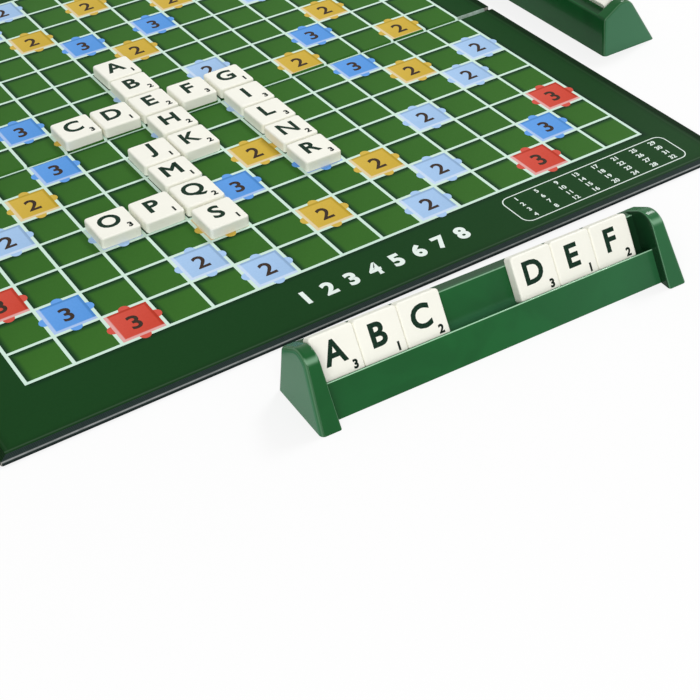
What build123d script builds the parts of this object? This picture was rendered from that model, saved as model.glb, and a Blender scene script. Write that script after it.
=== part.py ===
from build123d import *
from math import cos, radians, sin, tan
import os

# A crossword game laid out for play: a board that folds in half, letter tiles and two tile racks.
# Millimetres, +Z up. The origin is on the table under the middle column of squares, halfway along the near half.
# +X runs along the rows of squares, +Y runs across the fold to the far half.

# Letter tile
TILE_SIDE = 19.0
TILE_THICKNESS = 5.4
TILE_CORNER_RADIUS = 1.5
TILE_FACE_EDGE_RADIUS = 0.9
TILE_BACK_EDGE_RADIUS = 0.4

# Squares of the board
SQUARE_CLEARANCE = 1.6
SQUARES = 15
NEAR_ROWS = 7
NEAR_MARGIN = 35.6
LEFT_MARGIN = 25.2
RIGHT_MARGIN = 21.6

# Board layers
CORE_THICKNESS = 1.6
WRAP_THICKNESS = 0.2
PRINT_THICKNESS = 0.2
TURN_IN = 3.3
BOARD_CORNER_RADIUS = 1.0
FOLD_GAP = 3.5
VALLEY_CLEARANCE = 0.1

# How loosely the tiles lie in their squares
TILE_SEAT = 0.05
LAY_SHIFT_SHARE = 0.25
LAY_TURN = 0.8

# Tile rack, seen from its end: depth from its front foot, height from the table
LEAN = 32.0
RACK_DEPTH = 33.5
BACK_DRAFT = 0.3
BACK_HEIGHT = 19.7
CAP_WIDTH = 9.0
CAP_PROUD = 5.4
CAP_TOP_PITCH = 30.0
CAP_TOP_RADIUS = 8.0
CAP_LEAN = 6.0
CAP_OUTER_RADIUS = 2.0
CAP_INNER_RADIUS = 1.0
CAP_CORNER_CLEARANCE = 0.2
BACK_EDGE_RADIUS = 1.2
LEDGE_RUN = 13.3
LIP_RISE = 1.3
LIP_WALL = 1.5
LIP_RADIUS = 0.6
REST_RUN = 16.2
REST_RADIUS = 0.7
SLOT_CLEARANCE = 0.3
RACK_SLOTS = 8
RACK_SLACK = 2.5
RACK_WALL = 1.8

# Where the racks stand beside the board, and the tiles in them
NEAR_RACK_GAP = 20.3
NEAR_RACK_X = -76.6
NEAR_RACK_TURN = -2.1
FAR_RACK_GAP = 15.7
FAR_RACK_Y = 14.5
FAR_RACK_TURN = 90.0
RACK_TILE_GAP = 0.1
LEFT_GROUP = 3
RIGHT_GROUP = 3
RIGHT_GROUP_SLACK = 6.4
FAR_RACK_TILES = 7

square = TILE_SIDE + SQUARE_CLEARANCE
half_length = NEAR_MARGIN + NEAR_ROWS * square
board_left = -SQUARES * square / 2 - LEFT_MARGIN
board_right = SQUARES * square / 2 + RIGHT_MARGIN
board_width = board_right - board_left
middle_x = (board_left + board_right) / 2
near_edge = -half_length / 2
fold_y = half_length / 2
core_top = WRAP_THICKNESS + CORE_THICKNESS
print_top = core_top + PRINT_THICKNESS
channel_length = RACK_SLOTS * TILE_SIDE + RACK_SLACK
rack_length = channel_length + 2 * CAP_WIDTH

# Squares that hold a tile, as (column, row), with row 1 at the far edge and row 15 near the player
FAR_TILE_SQUARES = [(7, 6), (7, 7), (5, 8), (6, 8), (7, 8), (8, 8), (9, 8)]
NEAR_TILE_SQUARES = [
    (7, 9), (9, 9),
    (6, 10), (7, 10), (9, 10),
    (6, 11), (9, 11),
    (4, 12), (5, 12), (6, 12), (9, 12),
    (6, 13),
]


def finish(builder, name):
    """Label a finished piece and write it as its own file."""
    builder.part.label = name
    export_step(builder.part, f"parts/{name}.step")


def make_board_half(side, fold_sign):
    """Greyboard, wrap and printed sheet of one half; fold_sign is +1 where the fold is on its +Y side."""
    outer_y = near_edge if fold_sign > 0 else fold_y + half_length
    inner_y = fold_y - fold_sign * FOLD_GAP / 2
    middle_y = (outer_y + inner_y) / 2
    length = abs(inner_y - outer_y)
    with BuildPart() as wrap:
        with BuildSketch():
            with Locations((middle_x, middle_y)):
                Rectangle(board_width, length)
        extrude(amount=print_top)
        outer_corners = wrap.edges().filter_by(Axis.Z).group_by(Axis.Y)[0 if fold_sign > 0 else -1]
        fillet(outer_corners, BOARD_CORNER_RADIUS)
        with BuildSketch(Plane.XY.offset(WRAP_THICKNESS)):
            with Locations((middle_x, middle_y + fold_sign * WRAP_THICKNESS / 2)):
                Rectangle(board_width - 2 * WRAP_THICKNESS, length - WRAP_THICKNESS)
        extrude(amount=CORE_THICKNESS, mode=Mode.SUBTRACT)
        with BuildSketch(Plane.XY.offset(core_top)):
            with Locations((middle_x, middle_y + fold_sign * TURN_IN / 2)):
                Rectangle(board_width - 2 * TURN_IN, length - TURN_IN)
        extrude(amount=PRINT_THICKNESS, mode=Mode.SUBTRACT)
    finish(wrap, f"board_wrap_{side}")

    with BuildPart() as core:
        with BuildSketch(Plane.XY.offset(WRAP_THICKNESS)):
            with Locations((middle_x, middle_y + fold_sign * WRAP_THICKNESS / 2)):
                Rectangle(board_width - 2 * WRAP_THICKNESS, length - WRAP_THICKNESS)
        extrude(amount=CORE_THICKNESS)
    finish(core, f"board_core_{side}")

    with BuildPart() as sheet:
        with BuildSketch(Plane.XY.offset(core_top)):
            with Locations((middle_x, middle_y + fold_sign * TURN_IN / 2)):
                Rectangle(board_width - 2 * TURN_IN, length - TURN_IN)
        extrude(amount=PRINT_THICKNESS)
    finish(sheet, f"board_print_{side}")


def make_fold():
    """The two papers that cross the gap: the wrap underneath and the printed sheet in its crease."""
    with BuildPart() as strip:
        with BuildSketch():
            with Locations((middle_x, fold_y)):
                Rectangle(board_width, FOLD_GAP)
        extrude(amount=WRAP_THICKNESS)
    finish(strip, "fold_strip")

    half_gap = FOLD_GAP / 2
    crease_bottom = WRAP_THICKNESS + VALLEY_CLEARANCE
    end_plane = Plane(origin=(board_left + TURN_IN, fold_y, 0), x_dir=(0, 1, 0), z_dir=(1, 0, 0))
    with BuildPart() as valley:
        with BuildSketch(end_plane):
            with BuildLine():
                Polyline(
                    (-half_gap, core_top),
                    (-half_gap, print_top),
                    (0, crease_bottom + PRINT_THICKNESS),
                    (half_gap, print_top),
                    (half_gap, core_top),
                    (0, crease_bottom),
                    close=True,
                )
            make_face()
        extrude(amount=board_width - 2 * TURN_IN)
    finish(valley, "fold_valley")


def make_tile(back, name):
    """One letter tile standing on the plane of its back, face outwards."""
    with BuildPart() as tile:
        with BuildSketch(back):
            RectangleRounded(TILE_SIDE, TILE_SIDE, TILE_CORNER_RADIUS)
        extrude(amount=TILE_THICKNESS)
        face_edges = tile.faces().sort_by(Axis(back.origin, back.z_dir))[-1].edges()
        fillet(face_edges, TILE_FACE_EDGE_RADIUS)
        back_edges = tile.faces().sort_by(Axis(back.origin, back.z_dir))[0].edges()
        fillet(back_edges, TILE_BACK_EDGE_RADIUS)
    finish(tile, name)


def make_laid_tiles():
    """The tiles on the board, each a little off centre and a little turned, as a hand leaves them."""
    shift = LAY_SHIFT_SHARE * SQUARE_CLEARANCE
    for column, row in FAR_TILE_SQUARES + NEAR_TILE_SQUARES:
        seed = 5 * column + 3 * row
        x = (column - (SQUARES + 1) / 2) * square + shift * sin(2.3 * seed)
        y = near_edge + NEAR_MARGIN + (SQUARES + 0.5 - row) * square + shift * cos(1.7 * seed)
        turn = radians(LAY_TURN * sin(3.1 * seed))
        back = Plane(
            origin=(x, y, print_top + TILE_SEAT),
            x_dir=(cos(turn), sin(turn), 0),
            z_dir=(0, 0, 1),
        )
        make_tile(back, f"tile_row{row:02d}_col{column:02d}")


def rack_end(x, y, turn):
    """The plane of a rack's left end: its x is depth, its y is height and its normal runs along the rack."""
    angle = radians(turn)
    return Plane(
        origin=(x, y, 0),
        x_dir=(-sin(angle), cos(angle), 0),
        z_dir=(cos(angle), sin(angle), 0),
    )


def slope_point(up, back):
    """A point by its distance up the leaning front wall and its distance behind that wall."""
    lean = radians(LEAN)
    depth = CAP_PROUD + up * sin(lean) + back * cos(lean)
    return (depth, up * cos(lean) - back * sin(lean))


def body_outline(drop):
    """Points and corner radii between the caps, with the feet carried down by drop."""
    lean = radians(LEAN)
    slot_back = LIP_WALL + TILE_THICKNESS + SLOT_CLEARANCE
    points = [
        (CAP_PROUD - drop * tan(lean), -drop),
        slope_point(LEDGE_RUN + LIP_RISE, 0),
        slope_point(LEDGE_RUN + LIP_RISE, LIP_WALL),
        slope_point(LEDGE_RUN, LIP_WALL),
        slope_point(LEDGE_RUN, slot_back),
        slope_point(LEDGE_RUN + REST_RUN, slot_back),
        (RACK_DEPTH - BACK_DRAFT, BACK_HEIGHT),
        (RACK_DEPTH + BACK_DRAFT * drop / BACK_HEIGHT, -drop),
    ]
    radii = [0, LIP_RADIUS, LIP_RADIUS, 0, 0, REST_RADIUS, BACK_EDGE_RADIUS, 0]
    return points, radii


def cap_outline(drop):
    """Points and corner radii of an end cap, with the feet carried down by drop."""
    front_slope = 1 / tan(radians(LEAN))
    top_slope = tan(radians(CAP_TOP_PITCH))
    back_top = RACK_DEPTH - BACK_DRAFT
    crest_depth = (BACK_HEIGHT + top_slope * back_top) / (front_slope + top_slope)
    points = [
        (-drop / front_slope, -drop),
        (crest_depth, front_slope * crest_depth),
        (back_top, BACK_HEIGHT),
        (RACK_DEPTH + BACK_DRAFT * drop / BACK_HEIGHT, -drop),
    ]
    back_radius = max(CAP_OUTER_RADIUS, CAP_INNER_RADIUS) + CAP_CORNER_CLEARANCE
    return points, [0, CAP_TOP_RADIUS, back_radius, 0]


def end_face(end, at, inset, outward):
    """The outer face of a cap, leaning in with height, moved in by inset."""
    along = end.z_dir * outward
    normal = along + Vector(0, 0, 1) * tan(radians(CAP_LEAN))
    origin = end.origin + end.z_dir * at - along * inset
    return Plane(origin=origin, z_dir=normal)


def trim_ends(end, inset):
    """Cut the block in progress back to both caps' outer faces."""
    split(bisect_by=end_face(end, 0, inset, -1), keep=Keep.BOTTOM)
    split(bisect_by=end_face(end, rack_length, inset, 1), keep=Keep.BOTTOM)


def make_hollow(end):
    """The space under a rack, open downwards, one wall in from every outer face."""
    points, _ = body_outline(RACK_WALL * 2)
    cap_points, cap_radii = cap_outline(RACK_WALL * 2)
    cap_hollow = CAP_WIDTH - RACK_WALL
    with BuildPart() as hollow:
        with BuildSketch(end):
            with BuildLine():
                Polyline(*points, close=True)
            make_face()
            offset(amount=-RACK_WALL, kind=Kind.INTERSECTION)
        extrude(amount=rack_length)
        with BuildSketch(end, end.offset(rack_length - cap_hollow)):
            with BuildLine():
                FilletPolyline(*cap_points, radius=cap_radii, close=True)
            make_face()
            offset(amount=-RACK_WALL, kind=Kind.INTERSECTION)
        extrude(amount=cap_hollow)
        trim_ends(end, RACK_WALL)
    return hollow.part


def rim(face):
    """The edges round a cap's side that stand clear of the table."""
    return face.edges().filter_by(lambda edge: edge.center().Z > RACK_WALL)


def make_rack(end, name):
    """One rack: a leaning front wall with a lip, a ledge and a back rest between two taller end caps."""
    hollow = make_hollow(end)
    points, radii = body_outline(0)
    cap_points, cap_radii = cap_outline(0)
    with BuildPart() as rack:
        with BuildSketch(end, end.offset(rack_length - CAP_WIDTH)):
            with BuildLine():
                FilletPolyline(*cap_points, radius=cap_radii, close=True)
            make_face()
        extrude(amount=CAP_WIDTH)
        trim_ends(end, 0)
        faces = rack.faces().sort_by(Axis(end.origin, end.z_dir))
        faces_per_cap = len(faces) // 2
        outer_rims = rim(faces[0]) + rim(faces[-1])
        inner_rims = rim(faces[faces_per_cap - 1]) + rim(faces[faces_per_cap])
        fillet(outer_rims, CAP_OUTER_RADIUS)
        fillet(inner_rims, CAP_INNER_RADIUS)
        with BuildSketch(end.offset(CAP_WIDTH - RACK_WALL)):
            with BuildLine():
                FilletPolyline(*points, radius=radii, close=True)
            make_face()
        extrude(amount=channel_length + 2 * RACK_WALL)
        add(hollow, mode=Mode.SUBTRACT)
    finish(rack, name)


def make_rack_tile(end, start, name):
    """A tile in a rack's slot, its left side start along the rack."""
    up = TILE_SIDE / 2 + LEDGE_RUN + TILE_SEAT
    back = LIP_WALL + TILE_THICKNESS + SLOT_CLEARANCE / 2
    depth, height = slope_point(up, back)
    centre = end.origin + end.z_dir * (start + TILE_SIDE / 2) + end.x_dir * depth + Vector(0, 0, height)
    lean = radians(LEAN)
    normal = Vector(0, 0, sin(lean)) - end.x_dir * cos(lean)
    make_tile(Plane(origin=centre, x_dir=end.z_dir, z_dir=normal), name)


def make_rack_with_tiles(end, name, starts):
    """A rack and its tiles, numbered from its left end."""
    make_rack(end, name)
    for number, start in enumerate(starts, 1):
        make_rack_tile(end, start, f"{name}_tile_{number}")


tile_step = TILE_SIDE + RACK_TILE_GAP
left_start = CAP_WIDTH + RACK_TILE_GAP
right_start = rack_length - CAP_WIDTH - RIGHT_GROUP_SLACK - TILE_SIDE - (RIGHT_GROUP - 1) * tile_step
left_group = [left_start + i * tile_step for i in range(LEFT_GROUP)]
right_group = [right_start + i * tile_step for i in range(RIGHT_GROUP)]
full_hand = [left_start + i * tile_step for i in range(FAR_RACK_TILES)]

near_turn = radians(NEAR_RACK_TURN)
near_rack_y = near_edge - NEAR_RACK_GAP - RACK_DEPTH * cos(near_turn)
near_rack_end = rack_end(NEAR_RACK_X, near_rack_y, NEAR_RACK_TURN)
far_rack_x = board_right + FAR_RACK_GAP + RACK_DEPTH
far_rack_end = rack_end(far_rack_x, FAR_RACK_Y, FAR_RACK_TURN)

make_board_half("near", 1)
make_board_half("far", -1)
make_fold()
make_laid_tiles()
make_rack_with_tiles(near_rack_end, "near_rack", left_group + right_group)
make_rack_with_tiles(far_rack_end, "far_rack", full_hand)
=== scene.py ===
"""A crossword game laid out for play: printed sheets, letters, racks, paper fold and stage."""

from math import cos, pi, radians, sin

import bmesh
import bpy
from mathutils import Matrix, Quaternion, Vector


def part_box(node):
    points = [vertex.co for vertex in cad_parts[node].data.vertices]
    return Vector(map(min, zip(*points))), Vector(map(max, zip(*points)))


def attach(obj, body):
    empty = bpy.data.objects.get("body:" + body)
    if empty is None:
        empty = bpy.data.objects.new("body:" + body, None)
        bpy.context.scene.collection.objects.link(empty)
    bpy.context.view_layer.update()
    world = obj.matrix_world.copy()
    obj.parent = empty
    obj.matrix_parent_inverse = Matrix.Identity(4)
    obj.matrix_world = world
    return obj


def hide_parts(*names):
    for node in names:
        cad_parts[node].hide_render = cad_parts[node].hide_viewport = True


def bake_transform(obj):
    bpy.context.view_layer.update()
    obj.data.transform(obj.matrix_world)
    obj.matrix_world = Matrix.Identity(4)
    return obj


bl_info = {
    "name": "Word Board Game",
    "version": (1, 0, 0),
    "blender": (4, 5, 0),
    "location": "View3D > Sidebar > Word Game",
    "description": "Dresses a folding square-grid board, its letter tiles and two tile racks",
    "category": "Object",
}

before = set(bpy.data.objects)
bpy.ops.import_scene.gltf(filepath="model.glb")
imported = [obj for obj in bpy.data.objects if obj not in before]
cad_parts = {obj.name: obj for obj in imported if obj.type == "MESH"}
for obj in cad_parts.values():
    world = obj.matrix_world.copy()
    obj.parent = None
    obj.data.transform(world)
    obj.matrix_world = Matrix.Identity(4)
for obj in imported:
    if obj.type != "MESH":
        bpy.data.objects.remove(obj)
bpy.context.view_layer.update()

MM = 0.001

# Boxes of the nodes that the new pieces are fitted to
wrap_low, wrap_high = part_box("board_wrap_near")
far_wrap_low, far_wrap_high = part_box("board_wrap_far")
print_low, print_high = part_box("board_print_near")
far_print_low, far_print_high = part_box("board_print_far")
strip_low, strip_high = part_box("fold_strip")
valley_low, valley_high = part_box("fold_valley")
fold_y = (strip_low.y + strip_high.y) / 2

# Squares that carry a bonus, by how far their column and row lie from the middle one, larger first
BONUS_SQUARES = {
    "red": [(7, 5)],
    "gold": [(5, 2), (6, 0), (3, 0)],
    "pale_blue": [(7, 2), (4, 4), (6, 3), (1, 1)],
    "blue": [(6, 6), (4, 1)],
}
BONUS_DIGITS = {"red": "3", "gold": "2", "pale_blue": "2", "blue": "3"}
BOARD_SQUARES = 15
MIDDLE_SQUARE = 8
NEAR_ROWS = 7

# Rows of plain numbers in the outlined panel, and the row in the middle of the near margin
PANEL_ROWS = [" ".join(str(4 * column + row) for column in range(8)) for row in range(1, 5)]
MARGIN_NUMBERS = "12345678"

# The outlined panel's corner radius, line and inner space, and the height of its numbers
PANEL_RADIUS = 4.5 * MM
PANEL_LINE = 0.5 * MM
PANEL_INSET = (7.5 * MM, 3.4 * MM)
PANEL_DIGIT = 2.7 * MM

# Height of the large numbers in the near margin
MARGIN_DIGIT = 8.2 * MM

LETTERS = "ABCDEFGHIJKLMNOPQRSTUVWXYZ"

# Height of a capital in the built-in typeface at size 1
CAPITAL_HEIGHT = 0.729

# How much letters and numbers are thickened, in a typeface of size 1
WEIGHTS = {"square": 0.022, "panel": 0.025, "letter": 0.030, "margin": 0.045, "value": 0.050}

# How far a sharp corner may run out when a letter is thickened
SHARPEST_MITRE = 0.7

# A print's whole thickness and its middle's height, for each unit that it stands above the sheet
PRINT_BODY = 1.5
PRINT_MIDDLE = 0.25

# Sides of the circle that a round tab is cut from
TAB_SIDES = 16

# Strips that each fold paper is cut into
FOLD_STRIPS = 14

# How each rack is turned on the table, in degrees
RACK_TURNS = {"near_rack": -2.1, "far_rack": 90.0}

# From a rack's middle to just inside its caps, in millimetres
RACK_INNER_END = 77.2

# How far a rack's front wall and back rest lean from upright
RACK_LEAN = radians(32.0)

# Heights on a rack in millimetres: the rest's foot, its flat top and where the caps rise above it
REST_FOOT = 8.5
REST_TOP = 19.0
CAP_START = 20.6

# Where along a rack an end's tone is full and where it has faded, in millimetres from the middle
END_TONE_FULL = 82.0
END_TONE_GONE = -20.0

# From one thread of the linen grain to the next, in millimetres
THREAD_PITCH = 0.75

# Specular level of printed and linen-grained paper, and of ink
PRINT_GLOSS = 0.03

# Half the side of the floor, in metres
FLOOR_HALF = 6.0

# How far the floor lies below the feet, so that the two don't share a plane
FLOOR_DROP = 0.1 * MM

# How much of its shadows the floor shows, and between which distances they fade, in millimetres
FLOOR_SHADE = 0.22
FLOOR_FADE = (450, 1500)


def shade(red, green, blue):
    """A colour picked on screen, as the linear values that a shader takes."""
    return tuple(
        part / 12.92 if part <= 0.04045 else ((part + 0.055) / 1.055) ** 2.4
        for part in (red / 255, green / 255, blue / 255)
    )


def colour(name, description, *screen):
    """A colour that a user may change."""
    return bpy.props.FloatVectorProperty(
        name=name, description=description, subtype="COLOR", size=3, min=0, max=1,
        default=shade(*screen),
    )


def length(name, description, millimetres):
    """A length that a user may change, given in millimetres and kept in metres."""
    return bpy.props.FloatProperty(
        name=name, description=description, unit="LENGTH", precision=5, default=millimetres * MM
    )


def number(name, description, default, most=1e6):
    """A plain number that a user may change."""
    return bpy.props.FloatProperty(
        name=name, description=description, min=0, max=most, default=default
    )


def point(name, description, *metres):
    """A place that a user may change, in metres."""
    return bpy.props.FloatVectorProperty(
        name=name, description=description, subtype="TRANSLATION", unit="LENGTH", size=3,
        default=metres,
    )


class BoardSettings(bpy.types.PropertyGroup):
    """Sizes and colours of the printed board."""

    pitch: length("Pitch", "From one square to the next", 20.6)
    near_margin: length("Near margin", "From the board's near edge to the first squares", 35.6)
    line_width: length("Line width", "Width of the ruled lines", 1.5)
    shadow_reach: length("Shadow reach", "How far the printed shadow of a line spreads", 3.3)
    rim_width: length("Rim width", "Width of the pale and dark rims of a bonus square", 1.5)
    tab_radius: length("Tab radius", "Radius of the round tabs on a bonus square's sides", 2.6)
    ink_height: length("Ink height", "How far the printed motifs stand above the sheet", 0.03)
    digit_height: length("Digit height", "Height of the number in a bonus square", 9.0)
    field: colour("Field", "Green of the plain squares", 57, 107, 40)
    field_shadow: colour("Field shadow", "Dark green beside the lines", 12, 45, 30)
    margin: colour("Margin", "Green of the board's margin", 24, 65, 28)
    line: colour("Line", "Mint of the ruled lines", 213, 239, 224)
    red: colour("Red", "Colour of the red squares", 213, 58, 28)
    gold: colour("Gold", "Colour of the gold squares", 214, 178, 42)
    pale_blue: colour("Pale blue", "Colour of the pale blue squares", 167, 204, 245)
    blue: colour("Blue", "Colour of the blue squares", 83, 157, 236)
    ink: colour("Ink", "Colour of the numbers in the squares", 58, 44, 34)
    wrap: colour("Wrap", "Colour of the linen-grained wrap paper", 35, 51, 48)
    # Painted shade: the wrap is drawn in this darker, greener tone along the board's sides
    shaded_side_wrap: colour("Side wrap", "Colour of the wrap paper along the board's sides", 6, 39, 10)


class TileSettings(bpy.types.PropertyGroup):
    """Sizes and colours of the letter tiles."""

    letter_height: length("Letter height", "Height of a capital letter on a tile", 9.5)
    letter_rise: length("Letter rise", "How far a letter sits above the tile's middle", 1.4)
    letter_shift: length("Letter shift", "How far a letter sits left of the tile's middle", 0.9)
    value_height: length("Value height", "Height of the small number on a tile", 3.4)
    value_inset: length("Value inset", "From the tile's middle to the small number, each way", 5.9)
    ink_height: length("Ink height", "How far a letter stands above the tile's face", 0.03)
    ivory: colour("Ivory", "Colour of the tile plastic", 253, 252, 240)
    ink: colour("Ink", "Colour of the letters", 16, 46, 31)


class RackSettings(bpy.types.PropertyGroup):
    """Colours and finish of the tile racks."""

    green: colour("Green", "Colour of the rack plastic", 24, 94, 44)
    deep_green: colour("Deep green", "Darker tone in the mottling of the plastic", 18, 80, 36)
    # Painted light: the paler tone given to the caps' outer ends, the right end and the rest's foot
    pale_sheen: colour("Pale sheen", "Paler tone of the caps' outer faces and the right end", 64, 118, 84)
    # Painted highlights along the racks' edges: their colour, strength and where they are brightest
    edge: colour("Edge", "Colour of the highlighted edges", 185, 232, 196)
    roughness: number("Roughness", "Roughness of the moulded face", 0.24, most=1)
    highlight_strength: number("Edge shine", "How strongly the highlighted edges show", 0.8, most=1)
    highlight_centre: number("Edge centre", "Where a cap's round is highlighted brightest", 0.62, most=1)


class StageSettings(bpy.types.PropertyGroup):
    """Camera, lights and floor."""

    lens: number("Lens", "Focal length in millimetres", 75.87)
    camera_place: point("Camera", "Where the camera stands", -0.27083, -0.48812, 0.36818)
    camera_target: point("Target", "Point in the middle of the picture", -0.04060, -0.10694, 0.0)
    camera_roll: bpy.props.FloatProperty(
        name="Roll", description="Turn of the camera about its own axis", unit="ROTATION",
        default=radians(-2.644),
    )
    sky_strength: number("Sky", "Strength of the light from all round", 0.47)
    key_place: point("Key place", "Where the main lamp stands", 0.95, 0.45, 1.10)
    key_power: number("Key power", "Power of the main lamp in watts", 9.4)
    key_size: number("Key size", "Side of the main lamp in metres", 0.35)
    fill_place: point("Fill place", "Where the side lamp stands", -0.62, -0.98, 0.74)
    fill_power: number("Fill power", "Power of the side lamp in watts", 8.6)
    fill_size: number("Fill size", "Side of the side lamp in metres", 0.9)


class Value:
    """One output of a material's nodes, with the arithmetic that the materials use."""

    def __init__(self, paint, socket):
        self.paint = paint
        self.socket = socket

    def maths(self, operation, *numbers):
        """One Math node on one or two numbers."""
        return self.paint.node("ShaderNodeMath", {"operation": operation}, dict(enumerate(numbers)))

    def __add__(self, other):
        return self.maths("ADD", self, other)

    def __radd__(self, other):
        return self.maths("ADD", other, self)

    def __sub__(self, other):
        return self.maths("SUBTRACT", self, other)

    def __rsub__(self, other):
        return self.maths("SUBTRACT", other, self)

    def __mul__(self, other):
        return self.maths("MULTIPLY", self, other)

    def __rmul__(self, other):
        return self.maths("MULTIPLY", other, self)

    def __truediv__(self, other):
        return self.maths("DIVIDE", self, other)

    def fraction(self):
        return self.maths("FRACT", self)

    def size(self):
        return self.maths("ABSOLUTE", self)

    def sine(self):
        return self.maths("SINE", self)

    def larger(self, other):
        return self.maths("MAXIMUM", self, other)

    def smaller(self, other):
        return self.maths("MINIMUM", self, other)

    def fade(self, start, end):
        """1 up to start and 0 from end on, with a soft step between; start may be the larger."""
        return self.paint.node(
            "ShaderNodeMapRange",
            {"interpolation_type": "SMOOTHSTEP"},
            {0: self, 1: start, 2: end, 3: 1.0, 4: 0.0},
        )


class Paint:
    """One material, built from a principled shader and the nodes in front of it."""

    def __init__(self, name, **constants):
        self.material = bpy.data.materials.new(name)
        self.material.use_nodes = True
        self.tree = self.material.node_tree
        self.shader = self.tree.nodes["Principled BSDF"]
        for socket, value in constants.items():
            self.shader.inputs[socket.replace("_", " ")].default_value = value

    def node(self, kind, settings, sockets, output=0):
        """Any node: its settings first, then the values or links of its sockets."""
        made = self.tree.nodes.new(kind)
        for name, value in settings.items():
            setattr(made, name, value)
        for socket, value in sockets.items():
            self.feed(made.inputs[socket], value)
        return Value(self, made.outputs[output])

    def feed(self, target, value):
        if isinstance(value, Value):
            self.tree.links.new(value.socket, target)
        elif isinstance(value, tuple) and len(value) == 3 and target.type == "RGBA":
            target.default_value = (*value, 1.0)
        else:
            target.default_value = value

    def set(self, name, value):
        """Link or set one input of the shader."""
        self.feed(self.shader.inputs[name], value)

    def place(self):
        """The point on the object."""
        return self.node("ShaderNodeTexCoord", {}, {}, output="Object")

    def parts(self, vector):
        """The three numbers of a vector."""
        split = self.tree.nodes.new("ShaderNodeSeparateXYZ")
        self.feed(split.inputs[0], vector)
        return [Value(self, output) for output in split.outputs]

    def axes(self):
        """The point's three coordinates in millimetres."""
        return [part * (1 / MM) for part in self.parts(self.place())]

    def facing(self, turn):
        """Which way the surface faces, in a frame turned about Z: along, back and up."""
        x, y, z = self.parts(self.node("ShaderNodeTexCoord", {}, {}, output="Normal"))
        return x * cos(turn) + y * sin(turn), y * cos(turn) - x * sin(turn), z

    def noise(self, scale, detail=3.0, roughness=0.55, distortion=0.0):
        """Soft noise with that many waves to the metre."""
        shape = {"Scale": scale, "Detail": detail, "Roughness": roughness, "Distortion": distortion}
        return self.node("ShaderNodeTexNoise", {}, {"Vector": self.place(), **shape})

    def mix(self, share, first, second):
        """A colour between two others."""
        return self.node(
            "ShaderNodeMix", {"data_type": "RGBA"}, {0: share, 6: first, 7: second}, output=2
        )

    def relief(self, height, distance, strength):
        """Fine relief in the surface, distance in metres."""
        sockets = {"Height": height, "Distance": distance, "Strength": strength}
        self.set("Normal", self.node("ShaderNodeBump", {}, sockets, output="Normal"))


def darker(tone, share):
    return tuple(part * (1 - share) for part in tone)


def lighter(tone, share):
    return tuple(part + (1 - part) * share for part in tone)


def board_settings():
    return bpy.context.scene.word_game_board


def row_line(number):
    """Where the ruled line number, counted from the near one, lies along Y."""
    board = board_settings()
    return wrap_low.y + board.near_margin + number * board.pitch


def column_line(number):
    """Where the ruled line number, counted from the left one, lies along X."""
    return (number - BOARD_SQUARES / 2) * board_settings().pitch


def printed_finish(paint):
    """Satin print on paper: a fine uneven varnish over faint fibres."""
    fibres = paint.noise(2600, detail=4.0, roughness=0.6)
    paint.relief(fibres, 0.03 * MM, 0.35)
    cloud = paint.noise(38, detail=2.0)
    paint.set("Roughness", cloud * 0.12 + 0.40)


def print_mottle(paint, tone, amount):
    """A tone with the slight unevenness of printed ink."""
    grain = paint.noise(900, detail=3.0, roughness=0.7)
    drift = paint.noise(9, detail=2.0)
    share = (grain * 0.5 + drift * 0.5).fade(0.68, 0.32) * amount
    return paint.mix(share, tone, darker(tone, 0.55))


def sheet_paint(name, tone, amount):
    """Printed paper in one tone."""
    paint = Paint(name, Specular_IOR_Level=PRINT_GLOSS)
    paint.set("Base Color", print_mottle(paint, tone, amount))
    printed_finish(paint)
    return paint.material


def in_square(paint):
    """Millimetres from a point to the left, the far and the near line of its square."""
    board = board_settings()
    pitch = board.pitch / MM
    half_line = board.line_width / MM / 2
    x, y, _ = paint.axes()
    across = ((x - column_line(0) / MM) / pitch).fraction() * pitch
    up = ((y - row_line(0) / MM) / pitch).fraction() * pitch
    return across - half_line, pitch - up - half_line, up - half_line


def field_paint():
    """Plain squares: mid green, with a printed shadow along the left and far lines."""
    board = board_settings()
    tone = tuple(board.field)
    paint = Paint("field_green", Specular_IOR_Level=PRINT_GLOSS)
    across, down, _ = in_square(paint)
    wobble = paint.noise(160, detail=2.0) * 0.5 - 0.25
    beside = (across.smaller(down - 0.4) + wobble).fade(0.1, board.shadow_reach / MM)
    corner = (across + down).fade(6.0, 26.0)
    base = print_mottle(paint, tone, 0.16)
    body = paint.mix(corner * 0.15, base, darker(tone, 0.6))
    paint.set("Base Color", paint.mix(beside * 0.9, body, tuple(board.field_shadow)))
    printed_finish(paint)
    return paint.material


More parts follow.
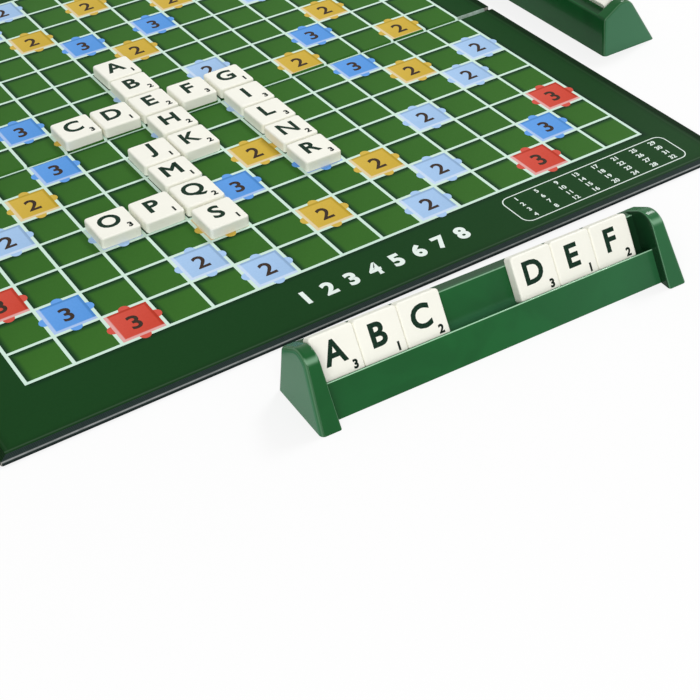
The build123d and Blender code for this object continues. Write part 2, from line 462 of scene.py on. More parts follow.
def margin_paint():
    """Dark green margin, with a printed shadow beside the ruled field, painted shade along the
    sheet's cut edge and a paler line just inside that edge.
    """
    board = board_settings()
    tone = tuple(board.margin)
    paint = Paint("margin_green", Specular_IOR_Level=PRINT_GLOSS)
    x, y, _ = paint.axes()
    reach = board.shadow_reach / MM
    half_line = board.line_width / MM / 2
    right_line = column_line(BOARD_SQUARES) / MM + half_line
    near_line = row_line(0) / MM - half_line
    outside = (x - right_line).larger(near_line - y)
    below_left = (column_line(0) / MM - x).fade(-1.0, 0.0)
    beyond_far = (y - row_line(BOARD_SQUARES) / MM).fade(-1.0, 0.0)
    shadow = outside.fade(0.2, reach) * below_left * beyond_far
    from_side = (x - print_low.x / MM).smaller(print_high.x / MM - x)
    from_end = (y - print_low.y / MM).smaller(far_print_high.y / MM - y)
    base = print_mottle(paint, tone, 0.22)
    # Painted shade, darkest at the sheet's cut edge and gone 4.5 mm in
    painted_shade = paint.mix(from_side.smaller(from_end).fade(0.0, 4.5) * 0.5, base, darker(tone, 0.6))
    # A paler line 1.2 mm inside the sheet's edge, stronger along the ends than along the sides
    pale_line = (from_side - 1.2).size().fade(0.15, 0.65) * 0.2
    pale_line = pale_line.larger((from_end - 1.2).size().fade(0.15, 0.65) * 0.8)
    lined = paint.mix(pale_line, painted_shade, lighter(tone, 0.03))
    paint.set("Base Color", paint.mix(shadow * 0.7, lined, darker(tuple(board.field_shadow), 0.3)))
    printed_finish(paint)
    return paint.material


def bonus_paint(name, tone):
    """A bonus square: pale rim to the left and near sides, dark rim to the right and far ones."""
    board = board_settings()
    paint = Paint(name, Specular_IOR_Level=PRINT_GLOSS)
    rim = board.rim_width / MM
    side = (board.pitch - board.line_width) / MM
    across, down, up = in_square(paint)
    slope = (across + down) * (0.5 / side)
    body = paint.mix(slope * 0.55, lighter(tone, 0.06), darker(tone, 0.2))
    pale = across.smaller(up).fade(rim * 0.75, rim * 1.25)
    dark = (side - across).smaller(down).fade(rim * 0.5, rim * 1.1)
    with_dark = paint.mix(dark * 0.6, body, darker(tone, 0.45))
    with_pale = paint.mix(pale * 0.75, with_dark, lighter(tone, 0.5))
    grain = paint.noise(900, detail=3.0, roughness=0.7).fade(0.66, 0.34) * 0.08
    paint.set("Base Color", paint.mix(grain, with_pale, darker(tone, 0.5)))
    printed_finish(paint)
    return paint.material


def crease_highlight_paint():
    """Painted highlight on the margin where the sheet is creased: pale, with faint patches of the
    margin's tone.
    """
    board = board_settings()
    pale_highlight = darker(tuple(board.line), 0.5)
    plain_margin = lighter(tuple(board.margin), 0.1)
    paint = Paint("crease_wear", Specular_IOR_Level=PRINT_GLOSS)
    patches = paint.noise(420, detail=4.0, roughness=0.7).fade(0.62, 0.38)
    paint.set("Base Color", paint.mix(patches * 0.4, pale_highlight, plain_margin))
    printed_finish(paint)
    return paint.material


def linen_paint():
    """Dark wrap paper with a linen grain; along the board's top edge a painted highlight with
    patchy wear, at the foot of its walls painted shade, and along its sides a darker, greener
    painted shade.
    """
    board = board_settings()
    tone = tuple(board.wrap)
    side_shade_tone = tuple(board.shaded_side_wrap)
    paint = Paint("linen_wrap", Specular_IOR_Level=PRINT_GLOSS)
    x, y, z = paint.axes()
    thread = 2 * pi / THREAD_PITCH
    drift = paint.noise(90, detail=3.0) * 1.6
    warp = ((x + z + drift) * thread).sine()
    weft = ((y + z - drift) * thread).sine()
    uneven = paint.noise(700, detail=4.0, roughness=0.65)
    weave = (warp.larger(weft) * 0.5 + 0.5) * 0.7 + uneven * 0.5
    paint.relief(weave, 0.09 * MM, 0.9)
    from_side = (x - wrap_low.x / MM).smaller(wrap_high.x / MM - x)
    from_end = (y - wrap_low.y / MM).smaller(far_wrap_high.y / MM - y)
    # Along the sides the wrap takes a darker, greener tone: painted shade
    on_side = from_side.fade(3.6, 4.0) * (from_side - from_end).fade(-0.2, 0.2) * z.fade(0.2, 0.1)
    threads = weave.fade(1.05, 0.35)
    flecked = paint.mix(threads, lighter(tone, 0.012), darker(tone, 0.3))
    side_flecked = paint.mix(threads, lighter(side_shade_tone, 0.008), darker(side_shade_tone, 0.3))
    side_shaded = paint.mix(on_side, flecked, side_flecked)
    depth = wrap_high.z / MM - z
    # Painted highlight along the top edge, strongest at the near and far ends, made patchy like
    # wear
    pale_highlight = (from_side.fade(0.0, 0.5) * 0.2).larger(from_end.fade(0.0, 0.5))
    arris = pale_highlight * depth.fade(0.25, 0.8)
    patchy = paint.noise(140, detail=4.0, roughness=0.7).fade(0.42, 0.68)
    highlight_and_wear = paint.mix(arris * (patchy * 0.3 + 0.7), side_shaded, lighter(tone, 0.30))
    # Painted shade on the board's walls, darkest at the foot
    foot = z.fade(0.1, 1.3) * from_side.smaller(from_end).fade(0.02, 0.1)
    paint.set("Base Color", paint.mix(foot * 0.75, highlight_and_wear, darker(tone, 0.8)))
    paint.set("Roughness", uneven * 0.15 + 0.5)
    return paint.material


def greyboard_paint():
    """Cut edge of the board's grey core: pressed fibres in thin layers."""
    paint = Paint("greyboard", Specular_IOR_Level=0.2)
    _, _, z = paint.axes()
    fibres = paint.noise(1500, detail=5.0, roughness=0.7, distortion=0.4)
    layers = (z * 22.0 + fibres * 5.0).sine() * 0.5 + 0.5
    tone = paint.mix(layers * 0.5 + fibres * 0.4, shade(122, 116, 106), shade(168, 162, 150))
    paint.set("Base Color", tone)
    paint.set("Roughness", fibres * 0.1 + 0.8)
    paint.relief(fibres + layers, 0.06 * MM, 0.6)
    return paint.material


def tile_paint():
    """Moulded ivory plastic with a faint cloud and fine satin grain."""
    tiles = bpy.context.scene.word_game_tiles
    tone = tuple(tiles.ivory)
    paint = Paint("tile_ivory", Specular_IOR_Level=0.35)
    cloud = paint.noise(70, detail=3.0, roughness=0.6, distortion=0.3)
    tinted = paint.mix(cloud.fade(0.7, 0.3) * 0.5, tone, darker(tone, 0.05))
    speck = paint.noise(1500, detail=2.0).fade(0.70, 0.62)
    paint.set("Base Color", paint.mix(0.10 - speck * 0.10, tinted, darker(tone, 0.25)))
    grain = paint.noise(3200, detail=2.0)
    paint.relief(grain, 0.02 * MM, 0.5)
    paint.set("Roughness", cloud * 0.12 + 0.34)
    return paint.material


def ink_paint(name, tone):
    """Printed or stamped ink, slightly uneven."""
    paint = Paint(name, Specular_IOR_Level=PRINT_GLOSS)
    grain = paint.noise(1400, detail=4.0, roughness=0.7)
    paint.set("Base Color", paint.mix(grain.fade(0.65, 0.35) * 0.25, tone, lighter(tone, 0.05)))
    paint.set("Roughness", grain * 0.2 + 0.4)
    paint.relief(grain, 0.01 * MM, 0.4)
    return paint.material


def rack_paint(node, turn):
    """Glossy bottle-green moulding with painted highlights along its edges and painted light and
    shade on some of its faces; turn is how the rack lies.
    """
    racks = bpy.context.scene.word_game_racks
    green, deep = tuple(racks.green), tuple(racks.deep_green)
    paint = Paint(f"{node}_green", Coat_Roughness=0.06, Coat_IOR=1.3, Specular_IOR_Level=0.12)
    flow = paint.noise(26, detail=4.0, roughness=0.5, distortion=1.2)
    fine = paint.noise(1100, detail=3.0, roughness=0.6)
    mottled = paint.mix(flow.fade(0.62, 0.38) * 0.6, green, deep)

    # Where a point lies in the rack's own frame, in millimetres from its middle
    across, back, up = paint.facing(turn)
    x, y, height = paint.axes()
    low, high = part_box(node)
    right = x - (low.x + high.x) / (2 * MM)
    forth = y - (low.y + high.y) / (2 * MM)
    sideways = right * cos(turn) + forth * sin(turn)
    along = sideways.size()
    depth = forth * cos(turn) - right * sin(turn)
    off_wall = depth * cos(RACK_LEAN) - height * sin(RACK_LEAN)

    # The faces that get painted light or shade
    cap_face = across.size().fade(0.9, 0.7)
    cap_end = cap_face * along.fade(RACK_INNER_END + 2.0, RACK_INNER_END + 1.0)
    cap_side = cap_face * along.fade(RACK_INNER_END + 1.0, RACK_INNER_END + 2.0)
    inside = along.fade(RACK_INNER_END + 0.2, RACK_INNER_END + 0.6)
    on_rest = back.fade(-0.7, -0.5) * off_wall.fade(-4.0, -8.0) * inside
    rest_foot = on_rest * height.fade(REST_FOOT, REST_FOOT + 3.0)
    rest_end = on_rest * along.fade(RACK_INNER_END - 4.0, RACK_INNER_END - 10.0)
    below_caps = height.fade(CAP_START, CAP_START + 0.8)
    rest_top = up.fade(0.99, 0.93) * height.fade(REST_TOP + 0.4, REST_TOP) * below_caps

    # Painted shade towards the left end; painted light towards the right end, at the rest's foot
    # and on the caps' outer ends
    left_end = sideways.fade(-END_TONE_FULL, END_TONE_GONE)
    right_end = sideways.fade(END_TONE_FULL, END_TONE_GONE)
    left_end_shaded = paint.mix(left_end * 0.3, mottled, darker(deep, 0.3))
    pale = cap_end.larger(right_end * 0.35).larger(rest_foot * 0.7)
    with_pale_sheen = paint.mix(pale, left_end_shaded, tuple(racks.pale_sheen))
    # Painted shade on the caps' inner sides, the rest's ends and the back walls
    painted_shade = cap_side.larger(rest_end).larger(back.fade(0.8, 0.6) * 0.4)
    shaded = paint.mix(painted_shade * 0.75, with_pale_sheen, darker(deep, 0.9))
    # Painted shade on the rest's flat top
    base = paint.mix(rest_top * 0.9, shaded, darker(deep, 0.6))

    # Painted highlights: round each cap, over its bend, and along the lip and the top of the rest
    cap_highlight = (across.size() - racks.highlight_centre).size().fade(0.04, 0.2)
    # Painted glint across the caps' bend
    bend = (up - 0.74).size().fade(0.02, 0.15) * back.fade(-0.5, -0.3) * (1 - below_caps)
    long_highlight = (back + 0.42).size().fade(0.25, 0.4) * up.fade(0.61, 0.57) * below_caps
    edge = (cap_highlight * 0.15).larger(long_highlight).larger(bend * 0.4)
    paint.set("Base Color", paint.mix(edge * racks.highlight_strength, base, tuple(racks.edge)))
    paint.set("Roughness", flow * 0.08 + fine * 0.05 + racks.roughness - 0.06)
    paint.set("Coat Weight", (flow * 0.1 + edge * 0.4 + 0.15) * (1 - rest_top * 0.9))
    paint.relief(fine * 0.5 + flow, 0.03 * MM, 0.4)
    return paint.material


def finishes(*names):
    """Finished materials by name."""
    return [bpy.data.materials[name] for name in names]


def keep_slots(names, material):
    """Give carried-over nodes a better material."""
    for name in names:
        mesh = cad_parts[name].data
        if not mesh.materials:
            mesh.materials.append(material)
        for i in range(len(mesh.materials)):
            mesh.materials[i] = material


def new_piece(name, bm, materials):
    """A finished object at the origin from a bmesh whose faces carry their material numbers."""
    mesh = bpy.data.meshes.new(name)
    bm.to_mesh(mesh)
    bm.free()
    for material in materials:
        mesh.materials.append(material)
    for polygon in mesh.polygons:
        polygon.use_smooth = False
    piece = bpy.data.objects.new(name, mesh)
    bpy.context.scene.collection.objects.link(piece)
    return piece


def rectangle(bm, low, high, z):
    """One face between two corners."""
    corners = [(low[0], low[1]), (high[0], low[1]), (high[0], high[1]), (low[0], high[1])]
    return bm.faces.new([bm.verts.new((x, y, z)) for x, y in corners])


def cut(bm, place, normal):
    """Cut every face that a plane crosses."""
    geometry = bm.verts[:] + bm.edges[:] + bm.faces[:]
    bmesh.ops.bisect_plane(bm, geom=geometry, plane_co=place, plane_no=normal, dist=1e-7)


def cut_at_lines(bm, low_y, high_y):
    """Cut a sheet along both sides of every ruled line that crosses it."""
    half_line = board_settings().line_width / 2
    for number in range(BOARD_SQUARES + 1):
        for side in (-half_line, half_line):
            cut(bm, (column_line(number) + side, 0, 0), (1, 0, 0))
            y = row_line(number) + side
            if low_y < y < high_y:
                cut(bm, (0, y, 0), (0, 1, 0))


# What can be printed at a point of a sheet, in the order of the sheet's materials
SHEET_MATERIALS = ["margin", "field", "line", "red", "gold", "pale_blue", "blue"]


def bonus_of(column, row):
    """The kind of bonus in a square, or None; row 1 is the far one."""
    steps = sorted((abs(column - MIDDLE_SQUARE), abs(row - MIDDLE_SQUARE)), reverse=True)
    for kind, places in BONUS_SQUARES.items():
        if tuple(steps) in places:
            return kind
    return None


def printed_zone(x, y):
    """What is printed at a point of the sheet: a name from SHEET_MATERIALS."""
    board = board_settings()
    across = (x - column_line(0)) / board.pitch
    up = (y - row_line(0)) / board.pitch
    half_line = board.line_width / 2 / board.pitch
    if not all(-half_line < part < BOARD_SQUARES + half_line for part in (across, up)):
        return "margin"
    if abs(across - round(across)) < half_line or abs(up - round(up)) < half_line:
        return "line"
    return bonus_of(int(across) + 1, BOARD_SQUARES - int(up)) or "field"


def sheet_materials():
    """The printed sheet's materials, in the order of SHEET_MATERIALS."""
    squares = [f"square_{kind}" for kind in BONUS_SQUARES]
    return finishes("margin_green", "field_green", "ruled_line", *squares)


def close_downwards(bm, thickness):
    """Give a flat sheet its thickness, downwards from its printed face."""
    made = bmesh.ops.extrude_face_region(bm, geom=bm.faces[:])
    lower = [item for item in made["geom"] if isinstance(item, bmesh.types.BMVert)]
    bmesh.ops.translate(bm, verts=lower, vec=(0, 0, -thickness))
    bmesh.ops.recalc_face_normals(bm, faces=bm.faces[:])


def half_tab(radius, thickness):
    """A flat half disc on its straight side, bulging along +X."""
    bm = bmesh.new()
    bmesh.ops.create_circle(bm, cap_ends=True, radius=radius, segments=TAB_SIDES)
    geometry = bm.verts[:] + bm.edges[:] + bm.faces[:]
    bmesh.ops.bisect_plane(
        bm, geom=geometry, plane_co=(0, 0, 0), plane_no=(1, 0, 0), clear_inner=True,
        dist=radius * 1e-3,
    )
    close_downwards(bm, thickness)
    return bm


def stamp(bm, pattern, places, material_index=0):
    """Copy a pattern mesh into bm at each place."""
    mesh = bpy.data.meshes.new("stamp")
    pattern.to_mesh(mesh)
    for place in places:
        before = len(bm.faces)
        moved = mesh.copy()
        moved.transform(place)
        bm.from_mesh(moved)
        bpy.data.meshes.remove(moved)
        bm.faces.ensure_lookup_table()
        for face in bm.faces[before:]:
            face.material_index = material_index
    bpy.data.meshes.remove(mesh)


def text_mesh(body, height, thickness, weight):
    """Flat block letters, centred on the origin, with a capital's height in metres."""
    curve = bpy.data.curves.new("words", "FONT")
    curve.body = body
    curve.size = 1.0
    curve.resolution_u = 4
    curve.extrude = 0.5
    maker = bpy.data.objects.new("words", curve)
    bpy.context.scene.collection.objects.link(maker)
    bpy.context.view_layer.update()
    shaped = maker.evaluated_get(bpy.context.evaluated_depsgraph_get())
    mesh = bpy.data.meshes.new_from_object(shaped)
    bpy.data.objects.remove(maker)
    bpy.data.curves.remove(curve)
    low = Vector(min(v.co[i] for v in mesh.vertices) for i in range(3))
    high = Vector(max(v.co[i] for v in mesh.vertices) for i in range(3))
    scale = height / CAPITAL_HEIGHT
    centre = Matrix.Translation(-(low + high) / 2)
    mesh.transform(Matrix.Diagonal((scale, scale, thickness, 1.0)) @ centre)
    bm = bmesh.new()
    bm.from_mesh(mesh)
    bpy.data.meshes.remove(mesh)
    bmesh.ops.remove_doubles(bm, verts=bm.verts[:], dist=height * 1e-4)
    bmesh.ops.recalc_face_normals(bm, faces=bm.faces[:])
    embolden(bm, weight * scale)
    return bm


def embolden(bm, weight):
    """Thicken flat letters by moving each point of their outline outwards."""
    moves = {}
    for vert in bm.verts:
        ways = []
        for face in vert.link_faces:
            way = face.normal
            if abs(way.z) < 0.5 and all(way.dot(other) < 0.999 for other in ways):
                ways.append(way.copy())
        if len(ways) == 1:
            moves[vert] = ways[0] * weight
        elif ways:
            reach = 1 + ways[0].dot(ways[1])
            moves[vert] = (ways[0] + ways[1]) * (weight / max(reach, SHARPEST_MITRE))
    for vert, move in moves.items():
        vert.co += move


def rows_of(half):
    """The board rows printed on one half, counted from the far edge."""
    if half == "near":
        return range(BOARD_SQUARES - NEAR_ROWS + 1, BOARD_SQUARES + 1)
    return range(1, BOARD_SQUARES - NEAR_ROWS + 1)


def square_centre(column, row, z):
    return Vector((
        (column_line(column - 1) + column_line(column)) / 2,
        (row_line(BOARD_SQUARES - row) + row_line(BOARD_SQUARES - row + 1)) / 2,
        z,
    ))


def bonus_places(half, kind):
    """Centres of the bonus squares of one kind on one half."""
    top = print_high.z
    return [
        square_centre(column, row, top)
        for row in rows_of(half)
        for column in range(1, BOARD_SQUARES + 1)
        if bonus_of(column, row) == kind
    ]


def tab_places(half, kind):
    """Where the round tabs of the bonus squares stand, leaving out those in the fold."""
    board = board_settings()
    reach = board.pitch / 2 - board.line_width / 2
    found = []
    for centre in bonus_places(half, kind):
        for quarter in range(4):
            turn = quarter * pi / 2
            way = Vector((cos(turn), sin(turn), 0))
            start = centre + way * reach
            if abs(start.y - fold_y) < board.pitch / 4:
                continue
            lift = Vector((0, 0, board.ink_height))
            found.append(Matrix.Translation(start + lift) @ Matrix.Rotation(turn, 4, "Z"))
    return found


class OBJECT_OT_word_game_materials(bpy.types.Operator):
    """Make the materials of the board, its print and the tiles"""

    bl_idname = "object.word_game_materials"
    bl_label = "Materials"

    def execute(self, context):
        board = board_settings()
        margin_paint()
        field_paint()
        sheet_paint("ruled_line", tuple(board.line), 0.06)
        for kind in BONUS_SQUARES:
            tone = tuple(getattr(board, kind))
            bonus_paint(f"square_{kind}", tone)
            sheet_paint(f"tab_{kind}", lighter(tone, 0.06), 0.12)
        crease_highlight_paint()
        linen_paint()
        greyboard_paint()
        tile_paint()
        ink_paint("square_ink", tuple(board.ink))
        ink_paint("margin_ink", lighter(tuple(board.line), 0.5))
        ink_paint("letter_ink", tuple(context.scene.word_game_tiles.ink))
        ink_paint("value_ink", darker(tuple(context.scene.word_game_tiles.ink), 0.6))
        return {"FINISHED"}


class OBJECT_OT_word_game_sheets(bpy.types.Operator):
    """Make the printed sheet of each half, cut along its ruled lines"""

    bl_idname = "object.word_game_sheets"
    bl_label = "Printed sheets"

    def execute(self, context):
        halves = {"near": (print_low, print_high), "far": (far_print_low, far_print_high)}
        for half, (low, high) in halves.items():
            bm = bmesh.new()
            rectangle(bm, low, high, high.z)
            cut_at_lines(bm, low.y, high.y)
            for face in bm.faces:
                centre = face.calc_center_median()
                face.material_index = SHEET_MATERIALS.index(printed_zone(centre.x, centre.y))
            close_downwards(bm, high.z - low.z)
            piece = new_piece(f"printed_sheet_{half}", bm, sheet_materials())
            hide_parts(f"board_print_{half}")
            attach(piece, f"{half}_half")
        return {"FINISHED"}


class OBJECT_OT_word_game_motifs(bpy.types.Operator):
    """Print the round tabs and plain numbers of the bonus squares"""

    bl_idname = "object.word_game_motifs"
    bl_label = "Bonus motifs"

    def execute(self, context):
        board = board_settings()
        ink = board.ink_height
        for half in ("near", "far"):
            tabs = bmesh.new()
            numbers = bmesh.new()
            for index, kind in enumerate(BONUS_SQUARES):
                pattern = half_tab(board.tab_radius, ink * PRINT_BODY)
                stamp(tabs, pattern, tab_places(half, kind), index)
                pattern.free()
                words = BONUS_DIGITS[kind]
                digit = text_mesh(words, board.digit_height, ink * PRINT_BODY, WEIGHTS["square"])
                lift = Vector((0, 0, ink * PRINT_MIDDLE))
                places = [Matrix.Translation(centre + lift) for centre in bonus_places(half, kind)]
                stamp(numbers, digit, places)
                digit.free()
            tones = finishes(*[f"tab_{kind}" for kind in BONUS_SQUARES])
            tab_piece = new_piece(f"bonus_tabs_{half}", tabs, tones)
            number_piece = new_piece(f"bonus_numbers_{half}", numbers, finishes("square_ink"))
            for piece in (tab_piece, number_piece):
                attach(piece, f"{half}_half")
        return {"FINISHED"}


def rounded_frame(low, high, radius, width, thickness, z):
    """A rounded outline of even width, as a flat closed band."""
    bm = bmesh.new()
    face = rectangle(bm, low, high, z)
    bmesh.ops.bevel(
        bm, geom=face.verts[:], offset=radius, offset_type="OFFSET", segments=6, profile=0.5,
        affect="VERTICES", material=-1,
    )
    bm.faces.ensure_lookup_table()
    bmesh.ops.inset_individual(bm, faces=bm.faces[:], thickness=width)
    middle = max(bm.faces, key=lambda f: f.calc_area())
    bmesh.ops.delete(bm, geom=[middle], context="FACES_ONLY")
    close_downwards(bm, thickness)
    return bm


class OBJECT_OT_word_game_margin(bpy.types.Operator):
    """Print the outlined panel and the plain numbers in the near margin"""

    bl_idname = "object.word_game_margin"
    bl_label = "Margin numbers"

    panel_low: bpy.props.FloatVectorProperty(
        name="Panel corner", description="Near left corner of the outlined panel",
        size=2, unit="LENGTH", default=(0.0672, -0.0812),
    )
    panel_high: bpy.props.FloatVectorProperty(
        name="Panel far corner", description="Far right corner of the outlined panel",
        size=2, unit="LENGTH", default=(0.1610, -0.0603),
    )
    numbers_from: length("Numbers from", "Where the row of large numbers starts", -38.5)
    numbers_to: length("Numbers to", "Where the row of large numbers ends", 40.0)
    numbers_line: length("Numbers line", "Where the row of large numbers lies in the margin", -70.5)

    def execute(self, context):
        ink = board_settings().ink_height
        top = print_high.z + ink
        low, high = self.panel_low, self.panel_high
        bm = rounded_frame(low, high, PANEL_RADIUS, PANEL_LINE, ink * PRINT_BODY, top)
        columns = len(PANEL_ROWS[0].split())
        left, right = low[0] + PANEL_INSET[0], high[0] - PANEL_INSET[0]
        near, far = low[1] + PANEL_INSET[1], high[1] - PANEL_INSET[1]
        for row, words in enumerate(PANEL_ROWS):
            y = far + (near - far) * row / (len(PANEL_ROWS) - 1)
            for column, word in enumerate(words.split()):
                x = left + (right - left) * column / (columns - 1)
                self.put(bm, word, PANEL_DIGIT, x, y, WEIGHTS["panel"])
        span = self.numbers_to - self.numbers_from
        for place, digit in enumerate(MARGIN_NUMBERS):
            x = self.numbers_from + span * place / (len(MARGIN_NUMBERS) - 1)
            self.put(bm, digit, MARGIN_DIGIT, x, self.numbers_line, WEIGHTS["margin"])
        piece = new_piece("margin_numbers", bm, finishes("margin_ink"))
        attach(piece, "near_half")
        return {"FINISHED"}

    def put(self, bm, word, height, x, y, weight):
        """Print one number in the margin."""
        ink = board_settings().ink_height
        pattern = text_mesh(word, height, ink * PRINT_BODY, weight)
        stamp(bm, pattern, [Matrix.Translation((x, y, print_high.z + ink * PRINT_MIDDLE))])
        pattern.free()


class OBJECT_OT_word_game_fold(bpy.types.Operator):
    """Make the creased print and the wrap strip at the board's fold"""

    bl_idname = "object.word_game_fold"
    bl_label = "Paper fold"

    def execute(self, context):
        papers = [
            (self.crease(), "fold_valley", "printed_sheet"),
            (self.strip(), "fold_strip", "wrap_paper"),
        ]
        for piece, node, slot in papers:
            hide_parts(node)
            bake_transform(piece)
        return {"FINISHED"}

    def crease(self):
        """The printed sheet pressed into the gap, in the zones of the print beside it."""
        thickness = print_high.z - print_low.z
        depth = valley_high.z - valley_low.z - thickness
        half_gap = (valley_high.y - valley_low.y) / 2
        bm = bmesh.new()
        rectangle(bm, valley_low, valley_high, valley_high.z)
        cut_at_lines(bm, valley_low.y, valley_high.y)
        for strip in range(1, FOLD_STRIPS):
            cut(bm, (0, valley_low.y + 2 * half_gap * strip / FOLD_STRIPS, 0), (0, 1, 0))
        names = SHEET_MATERIALS[:3]
        for face in bm.faces:
            centre = face.calc_center_median()
            zone = printed_zone(centre.x, centre.y)
            # Margin faces on the far side of the crease get the painted highlight
            if zone == "margin" and centre.y - fold_y > -0.2 * half_gap:
                face.material_index = len(names)
            else:
                face.material_index = names.index(zone if zone in names else "field")
        for vert in bm.verts:
            share = 1 - abs(vert.co.y - fold_y) / half_gap
            vert.co.z -= depth * share * share * (3 - 2 * share)
        close_downwards(bm, thickness)
        materials = sheet_materials()[:len(names)] + finishes("crease_wear")
        return new_piece("crease_paper", bm, materials)

    def strip(self):
        """The wrap paper that joins both halves underneath."""
        bm = bmesh.new()
        rectangle(bm, strip_low, strip_high, strip_high.z)
        width = strip_high.y - strip_low.y
        for strip in range(1, FOLD_STRIPS):
            cut(bm, (0, strip_low.y + width * strip / FOLD_STRIPS, 0), (0, 1, 0))
        close_downwards(bm, strip_high.z - strip_low.z)
        return new_piece("wrap_hinge", bm, finishes("linen_wrap"))


class OBJECT_OT_word_game_layers(bpy.types.Operator):
    """Finish the wrap paper and the greyboard cores"""

    bl_idname = "object.word_game_layers"
    bl_label = "Wrap and core"

    def execute(self, context):
        keep_slots(["board_wrap_near", "board_wrap_far"], bpy.data.materials["linen_wrap"])
        keep_slots(["board_core_near", "board_core_far"], bpy.data.materials["greyboard"])
        return {"FINISHED"}


def tile_names():
    """The laid tiles, row by row from the far one, and then those in the racks."""
    laid = sorted(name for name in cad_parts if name.startswith("tile_"))
    held = sorted(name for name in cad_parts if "_rack_tile_" in name)
    return laid + held


def tile_face(name):
    """The middle and turn of a tile's face, from its mesh: its right is +X and its top +Y."""
    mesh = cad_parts[name].data
    areas = {}
    for polygon in mesh.polygons:
        key = tuple(round(part, 3) for part in polygon.normal)
        areas[key] = areas.get(key, 0) + polygon.area
    normal = Vector(max((k for k in areas if k[2] > 0.3), key=areas.get)).normalized()
    along = Vector((0, 1, 0)) if name.startswith("far_rack") else Vector((1, 0, 0))
    side_area = 20 * MM * MM
    sides = [k for k in areas if areas[k] > side_area and abs(Vector(k).dot(normal)) < 0.1]
    right = Vector(max(sides, key=lambda k: Vector(k).dot(along)))
    right = (right - normal * right.dot(normal)).normalized()
    up = normal.cross(right)
    points = [v.co for v in mesh.vertices]
    middle = Vector()
    for axis in (right, up):
        reach = [p.dot(axis) for p in points]
        middle += axis * (min(reach) + max(reach)) / 2
    middle += normal * max(p.dot(normal) for p in points)
    return Matrix.Translation(middle) @ Matrix((right, up, normal)).transposed().to_4x4()


class OBJECT_OT_word_game_tiles(bpy.types.Operator):
    """Finish the tiles and print a letter and a small number on each"""

    bl_idname = "object.word_game_tiles"
    bl_label = "Letter tiles"

    def execute(self, context):
        tiles = context.scene.word_game_tiles
        names = tile_names()
        keep_slots(names, bpy.data.materials["tile_ivory"])
        ink = tiles.ink_height
        for number, name in enumerate(names):
            bm = bmesh.new()
            face = tile_face(name)
            word = LETTERS[number % len(LETTERS)]
            letter = text_mesh(word, tiles.letter_height, ink * PRINT_BODY, WEIGHTS["letter"])
            middle = Vector((-tiles.letter_shift, tiles.letter_rise, ink * PRINT_MIDDLE))
            stamp(bm, letter, [face @ Matrix.Translation(middle)])
            letter.free()
            word = str(1 + number % 3)
            value = text_mesh(word, tiles.value_height, ink * PRINT_BODY, WEIGHTS["value"])
            corner = Vector((tiles.value_inset, -tiles.value_inset, ink * PRINT_MIDDLE))
            stamp(bm, value, [face @ Matrix.Translation(corner)], 1)
            value.free()
            piece = new_piece(f"letter_{name}", bm, finishes("letter_ink", "value_ink"))
            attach(piece, name)
        return {"FINISHED"}


class OBJECT_OT_word_game_racks(bpy.types.Operator):
    """Finish the two tile racks"""

    bl_idname = "object.word_game_racks"
    bl_label = "Tile racks"

    def execute(self, context):
        for name, turn in RACK_TURNS.items():
            keep_slots([name], rack_paint(name, radians(turn)))
        return {"FINISHED"}


def ray_switch(owner, lit, shown):
    """Show the plain white surface to the camera and in reflections, and the lit one elsewhere."""
    tree = owner.node_tree
    path = tree.nodes.new("ShaderNodeLightPath")
    seen = path.outputs["Is Camera Ray"]
    for ray in ("Is Glossy Ray", "Is Transmission Ray"):
        either = tree.nodes.new("ShaderNodeMath")
        either.operation = "MAXIMUM"
        tree.links.new(seen, either.inputs[0])
        tree.links.new(path.outputs[ray], either.inputs[1])
        seen = either.outputs[0]
    blend = tree.nodes.new("ShaderNodeMixShader")
    for place, source in enumerate((seen, lit, shown)):
        tree.links.new(source, blend.inputs[place])
    return blend.outputs[0]


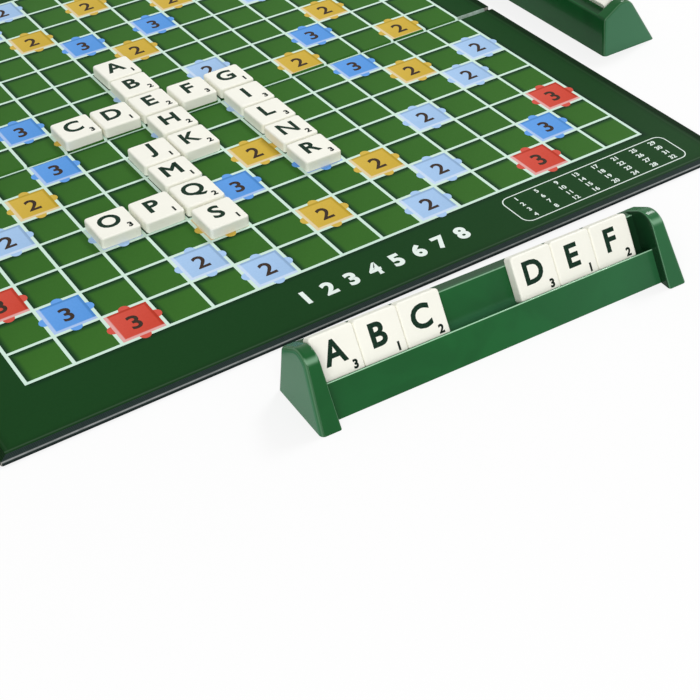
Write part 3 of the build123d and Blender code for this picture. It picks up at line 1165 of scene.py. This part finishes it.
class OBJECT_OT_word_game_stage(bpy.types.Operator):
    """Set up the white floor, the soft lights and the camera"""

    bl_idname = "object.word_game_stage"
    bl_label = "Stage"

    def execute(self, context):
        settings = context.scene.word_game_stage
        self.floor()
        self.sky(settings.sky_strength)
        self.lamp("key_light", settings.key_place, settings.key_power, settings.key_size)
        self.lamp("fill_light", settings.fill_place, settings.fill_power, settings.fill_size)
        self.camera(settings)
        context.scene.view_settings.view_transform = "Standard"
        return {"FINISHED"}

    def floor(self):
        """A large white floor that shows soft shadows, fades to white and is clear from below."""
        bm = bmesh.new()
        below = Matrix.Translation((0, 0, -FLOOR_DROP))
        bmesh.ops.create_grid(bm, x_segments=1, y_segments=1, size=FLOOR_HALF, matrix=below)
        white = (0.95, 0.95, 0.95, 1)
        paint = Paint("white_floor", Base_Color=white, Roughness=0.9, Specular_IOR_Level=0.0)
        x, y, _ = paint.axes()
        glow = paint.node("ShaderNodeEmission", {}, {"Strength": 1.0})
        lit = Value(paint, paint.shader.outputs[0])
        share = 1 - x.size().larger(y.size()).fade(*FLOOR_FADE) * FLOOR_SHADE
        shown = paint.node("ShaderNodeMixShader", {}, {0: share, 1: lit, 2: glow})
        seen = Value(paint, ray_switch(paint.material, lit.socket, shown.socket))
        clear = paint.node("ShaderNodeBsdfTransparent", {}, {})
        from_below = paint.node("ShaderNodeNewGeometry", {}, {}, output="Backfacing")
        whole = paint.node("ShaderNodeMixShader", {}, {0: from_below, 1: seen, 2: clear})
        paint.tree.links.new(whole.socket, paint.tree.nodes["Material Output"].inputs["Surface"])
        floor = new_piece("floor", bm, [paint.material])

    def sky(self, strength):
        """Even light from all round, white behind the object."""
        world = bpy.data.worlds.new("studio")
        bpy.context.scene.world = world
        world.use_nodes = True
        tree = world.node_tree
        lit = tree.nodes["Background"]
        lit.inputs["Color"].default_value = (1, 1, 1, 1)
        lit.inputs["Strength"].default_value = strength
        shown = tree.nodes.new("ShaderNodeBackground")
        shown.inputs["Color"].default_value = (1, 1, 1, 1)
        shown.inputs["Strength"].default_value = 1.0
        out = ray_switch(world, lit.outputs[0], shown.outputs[0])
        tree.links.new(out, tree.nodes["World Output"].inputs["Surface"])

    def lamp(self, name, place, power, size):
        """A square soft lamp aimed at the middle of the board."""
        light = bpy.data.lights.new(name, "AREA")
        light.energy = power
        light.size = size
        lamp = bpy.data.objects.new(name, light)
        lamp.location = place
        lamp.rotation_mode = "QUATERNION"
        lamp.rotation_quaternion = (-Vector(place)).to_track_quat("-Z", "Y")
        bpy.context.scene.collection.objects.link(lamp)

    def camera(self, settings):
        """The photograph's viewpoint."""
        data = bpy.data.cameras.new("camera")
        data.lens = settings.lens
        data.sensor_width = 36.0
        data.clip_start = 0.01
        data.clip_end = 50.0
        camera = bpy.data.objects.new("camera", data)
        place, target = Vector(settings.camera_place), Vector(settings.camera_target)
        camera.location = place
        camera.rotation_mode = "QUATERNION"
        aim = (target - place).to_track_quat("-Z", "Y")
        camera.rotation_quaternion = aim @ Quaternion((0, 0, 1), settings.camera_roll)
        bpy.context.scene.collection.objects.link(camera)
        bpy.context.scene.camera = camera


# The operators, in the order in which they run
STEPS = [
    OBJECT_OT_word_game_materials,
    OBJECT_OT_word_game_layers,
    OBJECT_OT_word_game_sheets,
    OBJECT_OT_word_game_motifs,
    OBJECT_OT_word_game_margin,
    OBJECT_OT_word_game_fold,
    OBJECT_OT_word_game_tiles,
    OBJECT_OT_word_game_racks,
    OBJECT_OT_word_game_stage,
]


class VIEW3D_PT_word_game(bpy.types.Panel):
    """Lists the game's steps and settings"""

    bl_idname = "VIEW3D_PT_word_game"
    bl_label = "Word Game"
    bl_space_type = "VIEW_3D"
    bl_region_type = "UI"
    bl_category = "Word Game"

    def draw(self, context):
        layout = self.layout
        for step in STEPS:
            layout.operator(step.bl_idname)
        for group in SETTINGS:
            settings = getattr(context.scene, group)
            box = layout.box()
            for name in settings.bl_rna.properties.keys():
                if name not in ("rna_type", "name"):
                    box.prop(settings, name)


# Where the scene keeps each group of settings
SETTINGS = {
    "word_game_board": BoardSettings,
    "word_game_tiles": TileSettings,
    "word_game_racks": RackSettings,
    "word_game_stage": StageSettings,
}


def register():
    for group in SETTINGS.values():
        bpy.utils.register_class(group)
    for step in STEPS:
        bpy.utils.register_class(step)
    bpy.utils.register_class(VIEW3D_PT_word_game)
    for name, group in SETTINGS.items():
        setattr(bpy.types.Scene, name, bpy.props.PointerProperty(type=group))


def unregister():
    for name in SETTINGS:
        delattr(bpy.types.Scene, name)
    bpy.utils.unregister_class(VIEW3D_PT_word_game)
    for step in reversed(STEPS):
        bpy.utils.unregister_class(step)
    for group in reversed(SETTINGS.values()):
        bpy.utils.unregister_class(group)


def main():
    """Run every step."""
    register()
    for step in STEPS:
        category, name = step.bl_idname.split(".")
        getattr(getattr(bpy.ops, category), name)()


if __name__ == "__main__":
    main()
